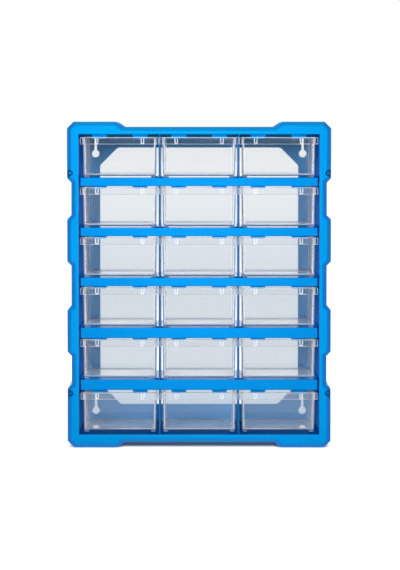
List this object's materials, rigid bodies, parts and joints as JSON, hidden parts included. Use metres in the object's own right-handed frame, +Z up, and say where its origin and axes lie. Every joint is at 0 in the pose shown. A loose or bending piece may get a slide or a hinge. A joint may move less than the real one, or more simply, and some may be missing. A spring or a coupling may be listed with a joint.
{
  "type": "parts cabinet",
  "caption": "Moulded cabinet for small parts with rows of clear slide-out drawers, a windowed back and keyholes for hanging on a wall.",
  "frame": {"origin": "middle of the footprint, on the surface the cabinet stands on", "axes": "+X to the right seen from the front, +Y to the back, so the drawers open towards -Y, +Z up"},
  "size_m": [0.38, 0.16, 0.47],
  "materials": {
    "casing_blue": "satin moulded",
    "shelf_blue": "satin moulded",
    "clear_plastic": "clear moulded"
  },
  "bodies": {
    "carcass": {"casing": "casing_blue", "back_frame": "shelf_blue", "shelf_1": "shelf_blue", "shelf_2": "shelf_blue", "shelf_3": "shelf_blue", "shelf_4": "shelf_blue", "shelf_5": "shelf_blue", "partition_left": "shelf_blue", "partition_right": "shelf_blue"},
    "drawer_row1_left": {"drawer_row1_left": "clear_plastic"},
    "drawer_row1_middle": {"drawer_row1_middle": "clear_plastic"},
    "drawer_row1_right": {"drawer_row1_right": "clear_plastic"},
    "drawer_row2_left": {"drawer_row2_left": "clear_plastic"},
    "drawer_row2_middle": {"drawer_row2_middle": "clear_plastic"},
    "drawer_row2_right": {"drawer_row2_right": "clear_plastic"},
    "drawer_row3_left": {"drawer_row3_left": "clear_plastic"},
    "drawer_row3_middle": {"drawer_row3_middle": "clear_plastic"},
    "drawer_row3_right": {"drawer_row3_right": "clear_plastic"},
    "drawer_row4_left": {"drawer_row4_left": "clear_plastic"},
    "drawer_row4_middle": {"drawer_row4_middle": "clear_plastic"},
    "drawer_row4_right": {"drawer_row4_right": "clear_plastic"},
    "drawer_row5_left": {"drawer_row5_left": "clear_plastic"},
    "drawer_row5_middle": {"drawer_row5_middle": "clear_plastic"},
    "drawer_row5_right": {"drawer_row5_right": "clear_plastic"},
    "drawer_row6_left": {"drawer_row6_left": "clear_plastic"},
    "drawer_row6_middle": {"drawer_row6_middle": "clear_plastic"},
    "drawer_row6_right": {"drawer_row6_right": "clear_plastic"}
  },
  "joints": [
    {"name": "slide_row1_left", "type": "slide", "parent": "carcass", "child": "drawer_row1_left", "axis": [0, -1, 0], "range_m": [0, 0.132]},
    {"name": "slide_row1_middle", "type": "slide", "parent": "carcass", "child": "drawer_row1_middle", "axis": [0, -1, 0], "range_m": [0, 0.132]},
    {"name": "slide_row1_right", "type": "slide", "parent": "carcass", "child": "drawer_row1_right", "axis": [0, -1, 0], "range_m": [0, 0.132]},
    {"name": "slide_row2_left", "type": "slide", "parent": "carcass", "child": "drawer_row2_left", "axis": [0, -1, 0], "range_m": [0, 0.132]},
    {"name": "slide_row2_middle", "type": "slide", "parent": "carcass", "child": "drawer_row2_middle", "axis": [0, -1, 0], "range_m": [0, 0.132]},
    {"name": "slide_row2_right", "type": "slide", "parent": "carcass", "child": "drawer_row2_right", "axis": [0, -1, 0], "range_m": [0, 0.132]},
    {"name": "slide_row3_left", "type": "slide", "parent": "carcass", "child": "drawer_row3_left", "axis": [0, -1, 0], "range_m": [0, 0.132]},
    {"name": "slide_row3_middle", "type": "slide", "parent": "carcass", "child": "drawer_row3_middle", "axis": [0, -1, 0], "range_m": [0, 0.132]},
    {"name": "slide_row3_right", "type": "slide", "parent": "carcass", "child": "drawer_row3_right", "axis": [0, -1, 0], "range_m": [0, 0.132]},
    {"name": "slide_row4_left", "type": "slide", "parent": "carcass", "child": "drawer_row4_left", "axis": [0, -1, 0], "range_m": [0, 0.132]},
    {"name": "slide_row4_middle", "type": "slide", "parent": "carcass", "child": "drawer_row4_middle", "axis": [0, -1, 0], "range_m": [0, 0.132]},
    {"name": "slide_row4_right", "type": "slide", "parent": "carcass", "child": "drawer_row4_right", "axis": [0, -1, 0], "range_m": [0, 0.132]},
    {"name": "slide_row5_left", "type": "slide", "parent": "carcass", "child": "drawer_row5_left", "axis": [0, -1, 0], "range_m": [0, 0.132]},
    {"name": "slide_row5_middle", "type": "slide", "parent": "carcass", "child": "drawer_row5_middle", "axis": [0, -1, 0], "range_m": [0, 0.132]},
    {"name": "slide_row5_right", "type": "slide", "parent": "carcass", "child": "drawer_row5_right", "axis": [0, -1, 0], "range_m": [0, 0.132]},
    {"name": "slide_row6_left", "type": "slide", "parent": "carcass", "child": "drawer_row6_left", "axis": [0, -1, 0], "range_m": [0, 0.132]},
    {"name": "slide_row6_middle", "type": "slide", "parent": "carcass", "child": "drawer_row6_middle", "axis": [0, -1, 0], "range_m": [0, 0.132]},
    {"name": "slide_row6_right", "type": "slide", "parent": "carcass", "child": "drawer_row6_right", "axis": [0, -1, 0], "range_m": [0, 0.132]}
  ]
}
